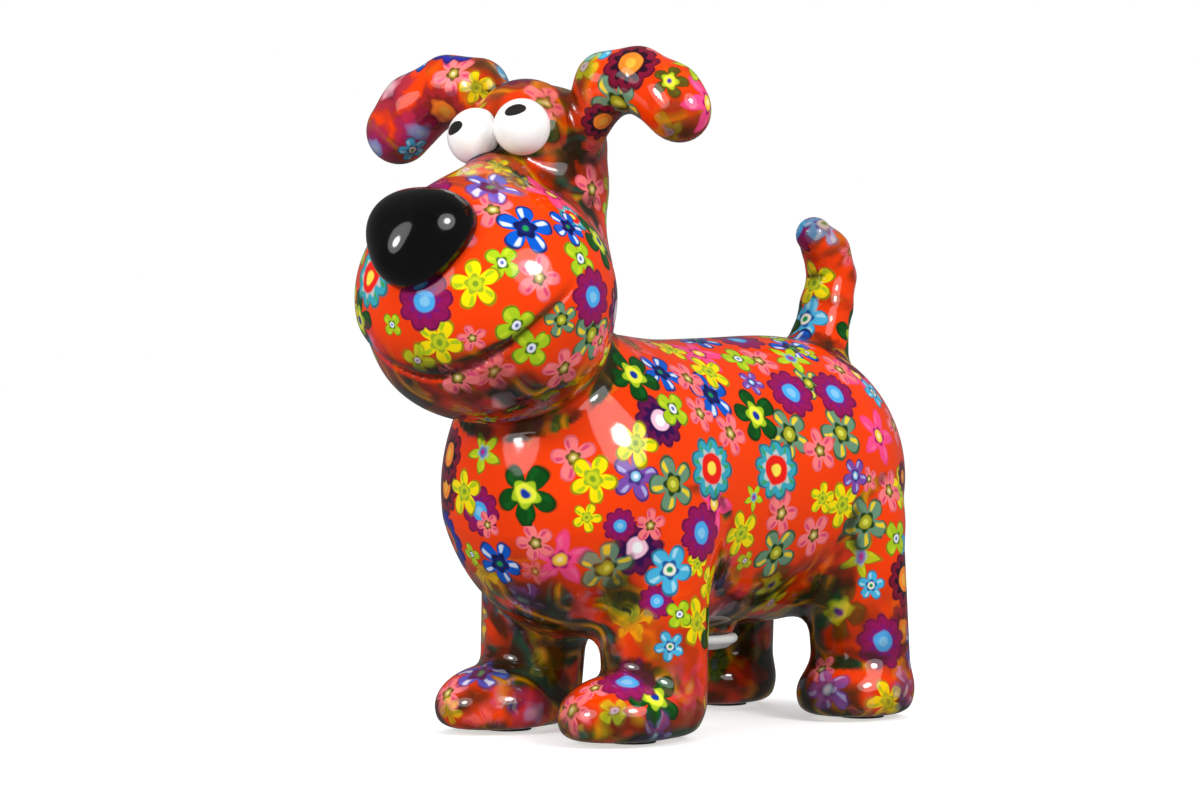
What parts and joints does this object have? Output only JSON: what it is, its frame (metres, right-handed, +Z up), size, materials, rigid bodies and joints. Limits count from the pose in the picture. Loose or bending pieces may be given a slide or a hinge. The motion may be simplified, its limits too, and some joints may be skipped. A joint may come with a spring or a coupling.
{
  "type": "animal coin bank",
  "caption": "Hollow glazed ceramic dog money box with a coin slot behind the head and a rubber plug under the belly.",
  "frame": {"origin": "on the resting surface, below the middle of the overall box", "axes": "+Z up, the dog's body faces -Y, its left side is +X"},
  "size_m": [0.1291, 0.2571, 0.2292],
  "materials": {
    "glaze_floral": "orange-red ground under a flower decal and a clear gloss glaze",
    "glaze_black": "gloss black glaze",
    "glaze_white": "gloss white glaze with painted black pupils",
    "rubber_white": "soft satin white rubber",
    "pad_rubber": "matt dark foam rubber"
  },
  "bodies": {
    "bank": {"torso_shell": "glaze_floral", "head_shell": "glaze_floral", "ear_left": "glaze_floral", "ear_right": "glaze_floral", "tail": "glaze_floral", "leg_front_left": "glaze_floral", "leg_front_right": "glaze_floral", "leg_rear_left": "glaze_floral", "leg_rear_right": "glaze_floral", "nose": "glaze_black", "eye_left": "glaze_white", "eye_right": "glaze_white", "foot_pad_front_left": "pad_rubber", "foot_pad_front_right": "pad_rubber", "foot_pad_rear_left": "pad_rubber", "foot_pad_rear_right": "pad_rubber"},
    "stopper": {"stopper": "rubber_white"}
  },
  "joints": [
    {"name": "stopper_pull", "type": "slide", "parent": "bank", "child": "stopper", "axis": [0, 0, -1], "range_m": [0, 0.018]}
  ]
}
